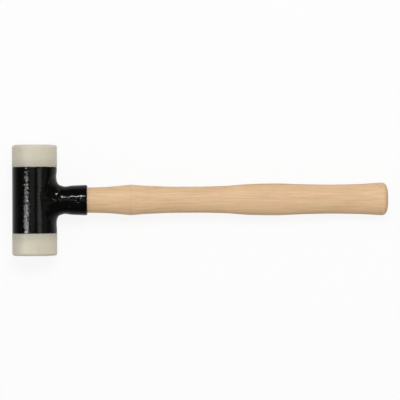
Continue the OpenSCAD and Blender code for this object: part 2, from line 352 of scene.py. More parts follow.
class NodeSheet:
    """A node tree that is being filled in, with short ways to add and join nodes."""

    def __init__(self, tree):
        self.tree = tree

    def add(self, kind, sockets=None, **settings):
        node = self.tree.nodes.new(kind)
        for key, value in settings.items():
            setattr(node, key, value)
        return self.fill(node, sockets or {})

    def fill(self, node, sockets):
        for key, value in sockets.items():
            self.feed(node.inputs[key], value)
        return node

    def feed(self, socket, value):
        if isinstance(value, bpy.types.NodeSocket):
            self.tree.links.new(value, socket)
        else:
            socket.default_value = value

    def math(self, operation, first, second=0.0):
        return self.add("ShaderNodeMath", {0: first, 1: second}, operation=operation).outputs[0]

    def plus(self, first, second):
        return self.math("ADD", first, second)

    def minus(self, first, second):
        return self.math("SUBTRACT", first, second)

    def times(self, first, second):
        return self.math("MULTIPLY", first, second)

    def over(self, first, second):
        return self.math("DIVIDE", first, second)

    def rows(self, index, width):
        """Row and column of an index, in rows of a width."""
        row = self.math("FLOOR", self.over(self.plus(index, 0.5), width))
        return row, self.minus(index, self.times(row, width))

    def vector(self, operation, first, second=(0.0, 0.0, 0.0)):
        return self.add("ShaderNodeVectorMath", {0: first, 1: second}, operation=operation).outputs[0]

    def split(self, vector):
        return self.add("ShaderNodeSeparateXYZ", {0: vector}).outputs

    def joined(self, x, y, z):
        return self.add("ShaderNodeCombineXYZ", {0: x, 1: y, 2: z}).outputs[0]

    def spread(self, value, low, high, to_low, to_high, smooth=False):
        """Maps a value from one range to another, held at the ends."""
        node = self.add(
            "ShaderNodeMapRange",
            {"Value": value, "From Min": low, "From Max": high, "To Min": to_low, "To Max": to_high},
            interpolation_type="SMOOTHSTEP" if smooth else "LINEAR",
        )
        return node.outputs["Result"]

    def mix(self, share, first, second, blend="MIX"):
        node = self.add("ShaderNodeMix", data_type="RGBA", blend_type=blend)
        self.feed(node.inputs[0], share)
        self.feed(node.inputs[6], first)
        self.feed(node.inputs[7], second)
        return node.outputs[2]

    def tinted(self, first, second):
        return self.mix(1.0, first, second, blend="MULTIPLY")

    def dimmed(self, rgb, level):
        """A colour times a level that changes over the surface."""
        return self.tinted(rgb, self.joined(level, level, level))


def tree_with(kind, name, inputs, outputs):
    """A new node group with named sockets, and the sheet to fill it in."""
    tree = bpy.data.node_groups.new(name, kind)
    for label, socket_type, default in inputs:
        socket = tree.interface.new_socket(name=label, in_out="INPUT", socket_type=socket_type)
        if default is not None:
            socket.default_value = default
    for label, socket_type in outputs:
        tree.interface.new_socket(name=label, in_out="OUTPUT", socket_type=socket_type)
    sheet = NodeSheet(tree)
    source = sheet.add("NodeGroupInput").outputs
    return sheet, source


def geometry_sheet(name, inputs):
    shape = ("Geometry", "NodeSocketGeometry")
    sockets = [(*shape, None), *inputs, ("Material", "NodeSocketMaterial", None)]
    return tree_with("GeometryNodeTree", name, sockets, [shape])


def ringed(sheet, stations, sides):
    """A grid with one row for each station; gives it, each point's station and its turn."""
    count = sheet.add("GeometryNodeAttributeDomainSize", {"Geometry": stations}, component="MESH")
    lines, columns = count.outputs["Point Count"], sheet.plus(sides, 1.0)
    grid = sheet.add("GeometryNodeMeshGrid", {"Vertices X": lines, "Vertices Y": columns})
    row, column = sheet.rows(sheet.add("GeometryNodeInputIndex").outputs[0], columns)
    turn = sheet.times(sheet.over(column, sides), 2 * pi)
    sample = sheet.add("GeometryNodeSampleIndex", data_type="FLOAT_VECTOR", domain="POINT")
    position = sheet.add("GeometryNodeInputPosition").outputs[0]
    sheet.fill(sample, {"Geometry": stations, "Value": position, "Index": row})
    return grid.outputs["Mesh"], sample.outputs["Value"], turn


def close_tree(sheet, geometry, material):
    real = sheet.add("GeometryNodeRealizeInstances", {"Geometry": geometry})
    dressed = sheet.add("GeometryNodeSetMaterial", {"Geometry": real.outputs[0], "Material": material})
    sheet.add("NodeGroupOutput", {"Geometry": dressed.outputs[0]})
    return sheet.tree


def skinned(sheet, grid, place, material):
    """Moves a grid's points to their places, closes its seam and poles, and ends the tree."""
    moved = sheet.add("GeometryNodeSetPosition", {"Geometry": grid, "Position": place}).outputs[0]
    merged = sheet.add("GeometryNodeMergeByDistance", {"Geometry": moved, "Distance": WELD_TOLERANCE})
    smooth = sheet.add("GeometryNodeSetShadeSmooth", {"Geometry": merged.outputs[0]})
    return close_tree(sheet, smooth.outputs[0], material)


def turned_tree():
    """Turns an outline, whose points hold a radius and a height, about the Y axis."""
    sheet, source = geometry_sheet("Turned piece", [("Segments", "NodeSocketInt", 128)])
    grid, station, turn = ringed(sheet, source["Geometry"], source["Segments"])
    radius, height, _ = sheet.split(station)
    place = sheet.joined(
        sheet.times(radius, sheet.math("COSINE", turn)),
        height,
        sheet.times(radius, sheet.math("SINE", turn)),
    )
    return skinned(sheet, grid, place, source["Material"])


def handle_tree():
    """Lofts stations of reach, half width and half depth, round at the mouth and oval from the ridge."""
    inputs = [
        ("Sides", "NodeSocketInt", 80),
        ("Mouth reach", "NodeSocketFloat", 0.04),
        ("Ridge reach", "NodeSocketFloat", 0.075),
        ("Round power", "NodeSocketFloat", 2.0),
        ("Grip power", "NodeSocketFloat", 2.3),
    ]
    sheet, source = geometry_sheet("Lofted handle", inputs)
    grid, station, turn = ringed(sheet, source["Geometry"], source["Sides"])
    reach, half_width, half_depth = sheet.split(station)
    power = sheet.spread(
        reach, source["Mouth reach"], source["Ridge reach"], source["Round power"], source["Grip power"]
    )
    root = sheet.over(2.0, power)

    def bulged(wave, size):
        side = sheet.math(wave, turn)
        swell = sheet.math("POWER", sheet.math("ABSOLUTE", side), root)
        return sheet.times(sheet.times(sheet.math("SIGN", side), swell), size)

    place = sheet.joined(reach, bulged("COSINE", half_width), bulged("SINE", half_depth))
    return skinned(sheet, grid, place, source["Material"])


def shot_tree():
    """Packs balls in close layers along the Y axis, as far as a round chamber takes them."""
    inputs = [
        ("Half count", "NodeSocketInt", 5),
        ("Layers", "NodeSocketInt", 4),
        ("Ball diameter", "NodeSocketFloat", 0.0057),
        ("Step", "NodeSocketFloat", 0.0058),
        ("Limit", "NodeSocketFloat", 0.0116),
        ("First layer", "NodeSocketFloat", -0.01),
    ]
    sheet, source = geometry_sheet("Steel shot", inputs)
    half, step = source["Half count"], source["Step"]
    side = sheet.plus(sheet.times(half, 2.0), 1.0)
    in_layer = sheet.times(side, side)
    layer, rest = sheet.rows(sheet.add("GeometryNodeInputIndex").outputs[0], in_layer)
    row, column = sheet.rows(rest, side)
    across, along = sheet.minus(column, half), sheet.minus(row, half)
    odd = sheet.math("MODULO", layer, 2.0)
    x = sheet.plus(sheet.plus(across, sheet.times(along, 0.5)), sheet.times(odd, 0.5))
    y = sheet.times(layer, sqrt(2 / 3))
    z = sheet.plus(sheet.times(along, sqrt(3) / 2), sheet.times(odd, 1 / sqrt(12)))
    height = sheet.plus(sheet.times(y, step), source["First layer"])
    place = sheet.joined(sheet.times(x, step), height, sheet.times(z, step))
    flat = sheet.math("SQRT", sheet.plus(sheet.times(x, x), sheet.times(z, z)))
    outside = sheet.math("GREATER_THAN", sheet.times(flat, step), source["Limit"])
    count = sheet.times(in_layer, source["Layers"])
    points = sheet.add("GeometryNodePoints", {"Count": count, "Position": place}).outputs[0]
    kept = sheet.add(
        "GeometryNodeDeleteGeometry", {"Geometry": points, "Selection": outside}, domain="POINT"
    ).outputs[0]
    radius = sheet.over(source["Ball diameter"], 2.0)
    ball = sheet.add("GeometryNodeMeshIcoSphere", {"Radius": radius, "Subdivisions": 3})
    smooth = sheet.add("GeometryNodeSetShadeSmooth", {"Geometry": ball.outputs[0]}).outputs[0]
    balls = sheet.add("GeometryNodeInstanceOnPoints", {"Points": kept, "Instance": smooth})
    return close_tree(sheet, balls.outputs[0], source["Material"])


# Finishes


def stretched_grain():
    """Noise drawn out along one way, as wood fibre and lathe lines are."""
    sheet, source = tree_with(
        "ShaderNodeTree",
        "Stretched grain",
        [
            ("Vector", "NodeSocketVector", None),
            ("Stretch", "NodeSocketVector", None),
            ("Detail", "NodeSocketFloat", 3.0),
            ("Low", "NodeSocketFloat", 0.3),
            ("High", "NodeSocketFloat", 0.7),
        ],
        [("Mask", "NodeSocketFloat")],
    )
    drawn = sheet.vector("MULTIPLY", source["Vector"], source["Stretch"])
    streaks = sheet.add("ShaderNodeTexNoise", {"Vector": drawn, "Scale": 1.0, "Detail": source["Detail"]})
    mask = sheet.spread(streaks.outputs["Fac"], source["Low"], source["High"], 0.0, 1.0)
    sheet.add("NodeGroupOutput", {"Mask": mask})
    return sheet.tree


def soft_mottle():
    """Slow unevenness of a surface, as a mask and as a colour that multiplies another."""
    sheet, source = tree_with(
        "ShaderNodeTree",
        "Soft mottle",
        [
            ("Vector", "NodeSocketVector", None),
            ("Scale", "NodeSocketFloat", 60.0),
            ("Amount", "NodeSocketFloat", 0.05),
        ],
        [("Mask", "NodeSocketFloat"), ("Tint", "NodeSocketColor")],
    )
    clouds = {"Vector": source["Vector"], "Scale": source["Scale"], "Detail": 2.0}
    fac = sheet.add("ShaderNodeTexNoise", clouds).outputs["Fac"]
    mask = sheet.spread(fac, 0.3, 0.7, 0.0, 1.0, smooth=True)
    low = sheet.minus(1.0, source["Amount"])
    level = sheet.plus(low, sheet.times(mask, source["Amount"]))
    sheet.add("NodeGroupOutput", {"Mask": mask, "Tint": sheet.joined(level, level, level)})
    return sheet.tree


def group(sheet, tree, sockets):
    return sheet.fill(sheet.add("ShaderNodeGroup", node_tree=tree), sockets).outputs


def finish_sheet(name):
    """A new material with an empty sheet, its shader and the piece's own coordinates."""
    material = bpy.data.materials.new(name)
    material.use_nodes = True
    tree = material.node_tree
    tree.nodes.clear()
    sheet = NodeSheet(tree)
    shader = sheet.add("ShaderNodeBsdfPrincipled")
    sheet.add("ShaderNodeOutputMaterial", {"Surface": shader.outputs[0]})
    place = sheet.add("ShaderNodeTexCoord").outputs["Object"]
    return material, sheet, shader, place


def tone(rgb, level=1.0):
    return tuple(c * level for c in rgb) + (1.0,)


def bumped(sheet, shader, height, distance, strength=1.0):
    bump = sheet.add("ShaderNodeBump", {"Height": height, "Distance": distance, "Strength": strength})
    sheet.feed(shader.inputs["Normal"], bump.outputs[0])


# Lacquer of each part: size of its fine peel, weight of its slow waves, and its roughness
LACQUER_SKINS = {
    "tube": (0.55 * MM, 0.3, (0.05, 0.09)),
    "socket": (1.1 * MM, 2.0, (0.06, 0.1)),
    "pin": (0.8 * MM, 0.5, (0.08, 0.14)),
}
LATHE_LINES, FINE_PEEL = 0.2, 0.6


def lacquer_finish(part, rgb, groups):
    """Black lacquer: lathe lines that show through it, a pebbled skin and slow waves."""
    grain, mottle = groups
    peel_size, wave, gloss = LACQUER_SKINS[part]
    material, sheet, shader, place = finish_sheet("black_lacquer_" + part)
    turned = group(sheet, grain, {"Vector": place, "Stretch": (240.0, 640.0, 240.0), "Detail": 2.0})["Mask"]
    peel = sheet.add("ShaderNodeTexNoise", {"Vector": place, "Scale": 1 / peel_size, "Detail": 2.0})
    slow = group(sheet, mottle, {"Vector": place, "Scale": 190.0, "Amount": 0.3})
    height = sheet.plus(sheet.times(turned, LATHE_LINES), sheet.times(peel.outputs["Fac"], FINE_PEEL))
    height = sheet.plus(height, sheet.times(slow["Mask"], wave))
    looks = {
        "Base Color": sheet.tinted(tone(rgb, 1.25), slow["Tint"]),
        "Roughness": sheet.spread(turned, 0.0, 1.0, *gloss),
        "Specular IOR Level": 0.14,
    }
    sheet.fill(shader, looks)
    bumped(sheet, shader, height, 0.05 * MM)
    return material


# Painted shade darkens the nylon near the dark steel, and painted shade dims the striking rim
NYLON_JOINT_SHADE = 9 * MM
NYLON_RIM_SHADE = (2.4 * MM, 0.8 * MM)


def nylon_finish(rgb, groups):
    """Natural nylon: satin and slightly translucent, with painted shade against the dark steel and on the
    striking rim.
    """
    grain, mottle = groups
    material, sheet, shader, place = finish_sheet("natural_nylon")
    cloud = group(sheet, mottle, {"Vector": place, "Scale": 75.0, "Amount": 0.07})
    fine = group(sheet, grain, {"Vector": place, "Stretch": (160.0, 900.0, 160.0), "Detail": 3.0})["Mask"]
    height = sheet.math("ABSOLUTE", sheet.split(place)[1])
    # Painted shade: the nylon is painted darker towards the dark steel
    dull = sheet.spread(height, TUBE_END, TUBE_END + NYLON_JOINT_SHADE, 0.81, 1.0, smooth=True)
    # Painted shade: the rounded rim and the striking face are painted a tenth darker, where the key light
    # falls brightly
    rim_shade_from, rim_shade_to = [BACK_HIGH.y - inset for inset in NYLON_RIM_SHADE]
    rim_shade = sheet.spread(height, rim_shade_from, rim_shade_to, 1.0, 0.9, smooth=True)
    looks = {
        "Base Color": sheet.dimmed(sheet.tinted(tone(rgb), cloud["Tint"]), sheet.times(dull, rim_shade)),
        "Roughness": sheet.spread(fine, 0.0, 1.0, 0.44, 0.56),
        "Specular IOR Level": 0.2,
        "Subsurface Weight": 0.85,
        "Subsurface Radius": (1.0, 0.85, 0.6),
        "Subsurface Scale": 5 * MM,
    }
    sheet.fill(shader, looks)
    bumped(sheet, shader, sheet.plus(fine, cloud["Mask"]), 0.012 * MM)
    return material


ASH_YELLOWISH = (0.993, 1.005, 0.985, 1.0)
ASH_PINKISH = (1.007, 0.992, 1.0, 1.0)
# The trunk's heart lay beside and under the handle, and its yearly rings wander slowly along it
HEART_BESIDE, HEART_BELOW = 58 * MM, 30 * MM
RING_STEP, RING_WANDER = 1.6 * MM, 1.8 * MM
# Place and tone of the wood across one year, from spring to spring
RING_TONES = ((0.0, 0.0), (0.12, 0.85), (0.9, 0.55), (1.0, 0.05))
# Shares of the rings, the fibre and the pores in the wood's tone, and what is added to all of it
RING_SHARE, FIBRE_SHARE, PORE_SHARE, PALE_SHARE = 0.48, 0.58, 0.3, 0.05
# Half width of the painted shade along the turned crease at the ridge
CREASE_SHADE_HALF = 0.9 * MM
END_GRAIN = (4.2 * MM, 0.6 * MM)


def ring_tones(sheet, year):
    """Tone of the wood at a share of a year's growth."""
    node = sheet.add("ShaderNodeValToRGB", {"Fac": year})
    elements = node.color_ramp.elements
    elements[0].position, elements[1].position = RING_TONES[0][0], RING_TONES[-1][0]
    for place, _ in RING_TONES[1:-1]:
        elements.new(place)
    for element, (_, level) in zip(elements, RING_TONES):
        element.color = tone((level,) * 3)
    return node.outputs["Color"]


def ash_finish(scene, groups):
    """Ash: yearly rings cut lengthwise, fine fibre, short pores, and darker end grain."""
    grain, mottle = groups
    handle, socket, finish = scene.hammer_handle, scene.hammer_socket, scene.hammer_finish
    material, sheet, shader, place = finish_sheet("ash_wood")
    slope = lay_angle(scene.hammer_head, socket, handle)
    own = sheet.add(
        "ShaderNodeMapping",
        {"Vector": place, "Location": tuple(HEAD_MIDDLE), "Rotation": (0.0, slope, 0.0)},
        vector_type="TEXTURE",
    ).outputs[0]
    reach, across, up = sheet.split(own)

    def grained(stretch, detail, low, high):
        sockets = {"Vector": own, "Stretch": stretch, "Detail": detail, "Low": low, "High": high}
        return group(sheet, grain, sockets)["Mask"]

    drawn = sheet.vector("MULTIPLY", own, (9.0, 55.0, 55.0))
    wander = sheet.add("ShaderNodeTexNoise", {"Vector": drawn, "Scale": 1.0, "Detail": 2.0}).outputs["Fac"]
    heart = sheet.joined(0.0, sheet.plus(across, HEART_BESIDE), sheet.plus(up, HEART_BELOW))
    away = sheet.add("ShaderNodeVectorMath", {0: heart}, operation="LENGTH").outputs["Value"]
    year = sheet.math("FRACT", sheet.over(sheet.plus(away, sheet.times(wander, RING_WANDER)), RING_STEP))
    fibre = grained((42.0, 900.0, 900.0), 4.0, 0.3, 0.7)
    pores = grained((150.0, 1800.0, 1800.0), 1.0, 0.6, 0.7)
    blush = grained((24.0, 150.0, 150.0), 2.0, 0.36, 0.64)
    patch = group(sheet, mottle, {"Vector": own, "Scale": 22.0, "Amount": 0.05})
    share = sheet.times(ring_tones(sheet, year), RING_SHARE)
    share = sheet.plus(share, sheet.times(fibre, FIBRE_SHARE))
    share = sheet.minus(share, sheet.times(pores, PORE_SHARE))
    base = sheet.mix(sheet.plus(share, PALE_SHARE), tone(finish.ash_dark), tone(finish.ash_pale))
    base = sheet.tinted(base, patch["Tint"])
    base = sheet.tinted(base, sheet.mix(blush, ASH_YELLOWISH, ASH_PINKISH))
    # Painted light: the wood is painted a little darker at the mouth and paler towards the butt, where more
    # light fell
    ridge, end = socket.reach + handle.ridge_from_mouth, socket.reach + handle.handle_length
    base = sheet.dimmed(base, sheet.spread(reach, socket.reach, end, 0.98, 1.025))
    # Painted shade darkens the turned crease at the ridge, and the end grain of the butt is a little darker
    from_ridge = sheet.math("ABSOLUTE", sheet.minus(reach, ridge))
    crease_shade = sheet.spread(from_ridge, 0.0, CREASE_SHADE_HALF, 0.12, 0.0, smooth=True)
    butt = sheet.spread(reach, end - END_GRAIN[0], end - END_GRAIN[1], 0.0, 0.35, smooth=True)
    looks = {
        "Base Color": sheet.mix(sheet.plus(crease_shade, butt), base, tone(finish.ash_dark, 0.72)),
        "Roughness": sheet.spread(fibre, 0.0, 1.0, 0.56, 0.44),
        "Specular IOR Level": 0.2,
    }
    sheet.fill(shader, looks)
    bumped(sheet, shader, sheet.minus(sheet.times(fibre, 0.5), pores), 0.03 * MM)
    return material


# Name of each bare steel, and the stretch of its lines
STEELS = {
    "disc": ("bare_steel_disc", (900.0, 60.0, 60.0)),
    "shot": ("dull_steel_shot", (500.0, 500.0, 500.0)),
}


def steel_finish(part, rgb, groups):
    """Bare steel: fine lines or a dull cast skin, and slow staining."""
    grain, mottle = groups
    name, stretch = STEELS[part]
    material, sheet, shader, place = finish_sheet(name)
    lines = group(sheet, grain, {"Vector": place, "Stretch": stretch, "Detail": 4.0})["Mask"]
    stain = group(sheet, mottle, {"Vector": place, "Scale": 130.0, "Amount": 0.25})
    looks = {
        "Base Color": sheet.tinted(tone(rgb), stain["Tint"]),
        "Roughness": sheet.spread(lines, 0.0, 1.0, 0.28, 0.5),
        "Metallic": 1.0,
    }
    sheet.fill(shader, looks)
    bumped(sheet, shader, lines, 0.01 * MM)
    return material


FINISHES = {}


def make_finishes(scene):
    """Makes every finish once, from the scene's colours."""
    finish = scene.hammer_finish
    groups = (stretched_grain(), soft_mottle())
    for part in LACQUER_SKINS:
        FINISHES[part] = lacquer_finish(part, finish.lacquer, groups)
    FINISHES["nylon"] = nylon_finish(finish.nylon, groups)
    FINISHES["ash"] = ash_finish(scene, groups)
    for part in STEELS:
        FINISHES[part] = steel_finish(part, finish.bare_steel, groups)


def finish_of(scene, part):
    """The finish of a part; the first call makes them all."""
    if not FINISHES:
        make_finishes(scene)
    return FINISHES[part]


# Head


# Ring round the neck where the weld drew the tube in: its radius, its width, and its share in front
DRAWN_RADIUS, DRAWN_WIDTH = 18.4 * MM, 2.6 * MM
DRAWN_IN_FRONT = 0.5


def drawn_depth(head, y, turn):
    """How far the weld drew the tube in, at a height on it and a turn from the neck."""
    if abs(turn) > pi / 2:
        return 0.0
    away = hypot(y, head.tube_diameter / 2 * turn)
    side = 1.0 if y > 0 else DRAWN_IN_FRONT
    return head.weld_draw * side * hump(away, DRAWN_RADIUS, DRAWN_WIDTH)


# Mean depth of the pebbled skin, and its fine pebbles against the coarse ones
PEBBLE_DEPTH = 0.7
FINE_PEBBLES, FINE_SHARE = 2.3, 0.5
# Roughness from the back face to the front one, and from beside the handle to the far side
ROUGH_ALONG, ROUGH_AWAY = (0.85, 1.25), (0.5, 0.75)
AWAY_FROM, AWAY_RUN = 0.12, 0.42


def pebble(head, place):
    """Depth of the tube's pebbled skin, rougher towards the front face and smoother beside the handle."""
    step = head.pebble_size / 2
    coarse, fine = noise.noise(place / step), noise.noise(place * FINE_PEBBLES / step)
    along = (TUBE_END - place.y) / (2 * TUBE_END)
    away = clamped((AWAY_FROM - 2 * place.x / head.tube_diameter) / AWAY_RUN, 0.0, 1.0)
    rough = between(*ROUGH_ALONG, along) * between(*ROUGH_AWAY, smooth_share(away))
    return head.pebble_height * (PEBBLE_DEPTH + rough * (coarse + FINE_SHARE * fine))


def face_outline(head):
    """Outline of a nylon face, from the middle of its spigot to the middle of its striking face."""
    foot, tip = TUBE_END, TUBE_END + head.face_height
    outer = head.face_diameter / 2
    spigot = head.tube_diameter / 2 - head.tube_wall - head.spigot_gap
    inner = foot - head.spigot_length
    rim, toe, hold = head.face_rim, head.face_foot, 0.35 * MM
    points = [(0.0, inner), (spigot * 0.5, inner), (spigot - head.spigot_lead - hold, inner)]
    points += [(spigot - head.spigot_lead, inner), (spigot, inner + head.spigot_lead)]
    points += [(spigot, inner + head.spigot_lead + hold), (spigot, foot - hold), (spigot, foot)]
    points += [(outer - toe - hold, foot)]
    points += arc((outer - toe, foot + toe), toe, -90, 0, 5)
    side = [(outer, foot + toe + hold), (outer, tip - rim - hold)]
    points += [side[0]] + evenly(side[0], side[1], 12) + [side[1]]
    points += arc((outer - rim, tip - rim), rim, 0, 90, 10)
    points += [(outer - rim - hold, tip)] + evenly((outer - rim - hold, tip), (0.0, tip), 8) + [(0.0, tip)]
    return points


def tube_outline(head):
    """Closed outline of the tube's wall."""
    end, outer = TUBE_END, head.tube_diameter / 2
    bore, rim, hold = outer - head.tube_wall, head.tube_rim, 0.3 * MM
    side = [(outer, -end + rim + hold), (outer, end - rim - hold)]
    points = [(bore, -end), (outer - rim - hold, -end)]
    points += arc((outer - rim, -end + rim), rim, -90, 0, 5)
    points += [side[0]] + evenly(side[0], side[1], 150) + [side[1]]
    points += arc((outer - rim, end - rim), rim, 0, 90, 5)
    points += [(outer - rim - hold, end), (bore, end)]
    return points + evenly((bore, end), (bore, -end), 4) + [(bore, -end)]


class HAMMER_OT_head_tube(bpy.types.Operator):
    """Turns the lacquered steel tube, drawn in a little around the socket's weld"""

    bl_idname = "hammer.head_tube"
    bl_label = "Head tube"

    def execute(self, context):
        scene = context.scene
        head = scene.hammer_head
        lacquer = finish_of(scene, "tube")
        values = {"Segments": 3 * head.segments, "Material": lacquer}
        piece = grown("lacquered_head_tube", turned_tree(), tube_outline(head), values)
        cleaned(piece)
        middle = head.tube_diameter / 2 - head.tube_wall / 2
        for point in piece.data.vertices:
            x, y, z = point.co
            radius = hypot(x, z)
            if radius > middle:
                depth = drawn_depth(head, y, atan2(z, x)) + pebble(head, point.co)
                point.co = (x * (1 - depth / radius), y, z * (1 - depth / radius))
        stand(piece, "head_tube", "hammer", scene, lacquer)
        return {"FINISHED"}


class HAMMER_OT_faces(bpy.types.Operator):
    """Turns the two nylon faces with their spigots"""

    bl_idname = "hammer.faces"
    bl_label = "Nylon faces"

    def execute(self, context):
        scene = context.scene
        head = scene.hammer_head
        tree, nylon = turned_tree(), finish_of(scene, "nylon")
        values = {"Segments": head.segments, "Material": nylon}
        for node, turn in (("back_face", 1), ("front_face", -1)):
            outline = [(radius, turn * height) for radius, height in face_outline(head)]
            piece = grown("nylon_" + node, tree, outline, values)
            cleaned(piece)
            stand(piece, node, node, scene, nylon)
        return {"FINISHED"}


# Socket, weld and pin


def tube_skin(head, reach, turn):
    """Point of the drawn tube's skin that lies a reach away from the neck's axis, at a turn round it."""
    radius = head.tube_diameter / 2
    y, z = reach * cos(turn), reach * sin(turn)
    around = asin(clamped(z / radius, -1.0, 1.0))
    skin = radius - drawn_depth(head, y, around)
    return skin * cos(around), y, skin * sin(around)


def bore_radius(socket, reach):
    """Radius of the tapered bore, which follows the socket's wall from its neck to its mouth."""
    taper = (socket.mouth_diameter - socket.neck_diameter) / 2 / socket.flare_start
    return socket.neck_diameter / 2 - socket.wall + taper * (reach - socket.reach + socket.flare_start)


# The socket's foot is drawn at a mark until it is cut to the tube, and its wall is straight up to the flare
SADDLE_MARK = 10 * MM
SOCKET_FOOT = 18 * MM
FLARE_STEPS = 14
MOUTH_CHAMFER = 0.2 * MM


def socket_outline(socket):
    """Closed outline of the socket's wall; its foot is marked to be cut to the tube."""
    neck, mouth = socket.neck_diameter / 2, socket.mouth_diameter / 2
    start, stop = socket.reach - socket.flare_start, socket.reach - socket.flare_end
    flare = socket.flare_diameter / 2
    top, hold = socket.reach, 0.25 * MM
    deep, long = socket.lip_depth, socket.lip_length
    foot = (bore_radius(socket, SOCKET_FOOT), SOCKET_FOOT)
    points = [(bore_radius(socket, SADDLE_MARK), SADDLE_MARK), (neck, SADDLE_MARK), (neck, SOCKET_FOOT)]
    points += evenly((neck, SOCKET_FOOT), (neck, start), 8)
    for k in range(FLARE_STEPS + 1):
        share = k / FLARE_STEPS
        points.append((between(neck, flare, smooth_share(share)), between(start, stop, share)))
    points += evenly((flare, stop), (mouth, top - long - hold), 16)
    points += [(mouth, top - long - hold)]
    points += [(mouth - deep + deep * x, top - long + long * y) for x, y in arc((0, 0), 1, 0, 90, 8)]
    lip = bore_radius(socket, top)
    edge = (lip, top - MOUTH_CHAMFER)
    points += [(lip + MOUTH_CHAMFER, top), edge]
    return points + evenly(edge, foot, 24) + [foot, points[0]]


class HAMMER_OT_socket(bpy.types.Operator):
    """Turns the flared handle socket, cuts its foot to the tube and drills it for the pin"""

    bl_idname = "hammer.socket"
    bl_label = "Handle socket"

    def execute(self, context):
        scene = context.scene
        head, socket = scene.hammer_head, scene.hammer_socket
        lacquer = finish_of(scene, "socket")
        values = {"Segments": head.segments, "Material": lacquer}
        piece = grown("lacquered_handle_socket", turned_tree(), socket_outline(socket), values)
        piece.data.transform(Matrix.Rotation(-pi / 2, 4, "Z"))
        for point in piece.data.vertices:
            x, y, z = point.co
            if x < SADDLE_MARK + 1 * MM:
                point.co = (tube_skin(head, hypot(y, z), atan2(z, y))[0], y, z)
        cleaned(piece)
        drilled(piece, socket)
        cleaned(piece)
        stand(piece, "handle_socket", "hammer", scene, lacquer)
        return {"FINISHED"}


WELD_TURNS, WELD_STEPS = 160, 24
WELD_UNDERCUT = 0.2 * MM
# Place and width across the weld's face of its crest and of the lumps where it stops, and the turn of those
WELD_CREST = (0.2, 0.14)
WELD_STOP = (0.28, 0.16)
WELD_STOP_TURN, WELD_STOP_SPREAD = radians(56), 0.24


def weld_ring(head, socket, turn):
    """One section of the weld: down its hollow face, back under it, and up beside the neck."""
    radius, neck = head.tube_diameter / 2, socket.neck_diameter / 2
    pull = (neck + socket.weld_tube_leg / 3) * sin(turn) / radius
    reach = neck + socket.weld_tube_leg * sqrt(1 - pull * pull)
    foot = tube_skin(head, reach, turn)
    foot_reach = hypot(foot[1], foot[2])
    level = sqrt(radius * radius - (reach * sin(turn)) ** 2)
    fall = reach * sin(turn) ** 2 / level
    corner = foot[0] + fall * (foot_reach - neck)
    leg = between(socket.weld_neck_leg, socket.weld_side_leg, sin(turn) ** 2)
    ring = []
    for k in range(WELD_STEPS + 1):
        t = k / WELD_STEPS
        away = neck * (1 - t * t) + foot_reach * t * t
        height = (corner + leg) * (1 - t) ** 2 + corner * 2 * t * (1 - t) + foot[0] * t * t
        swell = socket.weld_ripple * sin(pi * t) * (sin(5 * turn + 0.7) + 0.6 * sin(13 * turn + 4 * t))
        swell += socket.weld_crest * hump(t, *WELD_CREST)
        lump = hump(sin(turn - WELD_STOP_TURN), 0.0, WELD_STOP_SPREAD)
        swell += socket.weld_stop * hump(t, *WELD_STOP) * lump
        ring.append((height + swell * sin(pi / 2 * t), away + swell * cos(pi / 2 * t)))
    for k in range(1, 5):
        away = between(foot_reach, neck, k / 4)
        ring.append((tube_skin(head, away, turn)[0] - WELD_UNDERCUT, away - WELD_UNDERCUT))
    ring.append((corner, neck - WELD_UNDERCUT))
    ring.append((corner + leg, neck - WELD_UNDERCUT))
    return [(height, away * cos(turn), away * sin(turn)) for height, away in ring]


class HAMMER_OT_weld(bpy.types.Operator):
    """Lays the weld that joins the socket's neck to the tube"""

    bl_idname = "hammer.weld"
    bl_label = "Socket weld"

    def execute(self, context):
        scene = context.scene
        shape = bmesh.new()
        rings = []
        for k in range(WELD_TURNS):
            ring = weld_ring(scene.hammer_head, scene.hammer_socket, 2 * pi * k / WELD_TURNS)
            rings.append([shape.verts.new(point) for point in ring])
        bridge(shape, zip(rings, rings[1:] + rings[:1]))
        piece = add_object("lacquered_socket_weld", mesh_of(shape, "lacquered_socket_weld"))
        cleaned(piece, sharp_from=60)
        stand(piece, "socket_weld", "hammer", scene, finish_of(scene, "socket"))
        return {"FINISHED"}


def pin_section(socket, inset):
    """Outline of the slotted pin across its length, drawn in by an inset at its ends."""
    outer = socket.pin_diameter / 2 - inset
    inner = socket.pin_diameter / 2 - socket.pin_wall + inset
    half = socket.pin_slot / 2 + inset
    steps = 40
    points = []
    for radius, way in ((outer, 1), (inner, -1)):
        edge = asin(half / radius)
        turns = [between(edge, 2 * pi - edge, k / steps) for k in range(steps + 1)]
        points += [(radius * cos(a), radius * sin(a)) for a in turns[::way]]
    return points


# Bead of lacquer round the pin: its lap over the pin, its width, and how deep its edges and its root lie
BEAD_LAP, BEAD_WIDTH = 0.3 * MM, 1.1 * MM
BEAD_SINK, BEAD_ROOT = 0.02 * MM, 0.3 * MM


def lacquer_bead(shape, socket, side, turns=48, steps=8):
    """Bead of lacquer round one end of the pin, which lies on the socket's tapered skin."""
    centre, run = -socket.pin_setback, socket.flare_end
    inner = socket.pin_diameter / 2 - BEAD_LAP
    section = [(k / steps, socket.pin_bead * sin(pi * k / steps)) for k in range(steps + 1)]
    section.append((0.5, -BEAD_ROOT))
    rings = []
    for r in range(turns):
        turn = 2 * pi * r / turns
        ring = []
        for share, rise in section:
            reach = inner + BEAD_WIDTH * share
            x, y = centre + reach * cos(turn), reach * sin(turn)
            radius = between(socket.flare_diameter, socket.mouth_diameter, (x + run) / run) / 2
            z = sqrt(radius * radius - y * y) + rise - BEAD_SINK
            ring.append(shape.verts.new((x - centre, y, side * z)))
        rings.append(ring)
    bridge(shape, zip(rings, rings[1:] + rings[:1]))


# Bevel of the pin's ends, and the film of lacquer that closes its bore: gap, depth and flatness
PIN_BEVEL = 0.2 * MM
FILM_GAP, FILM_SUNK, FILM_FLAT = 0.1 * MM, 1.2 * MM, 0.3


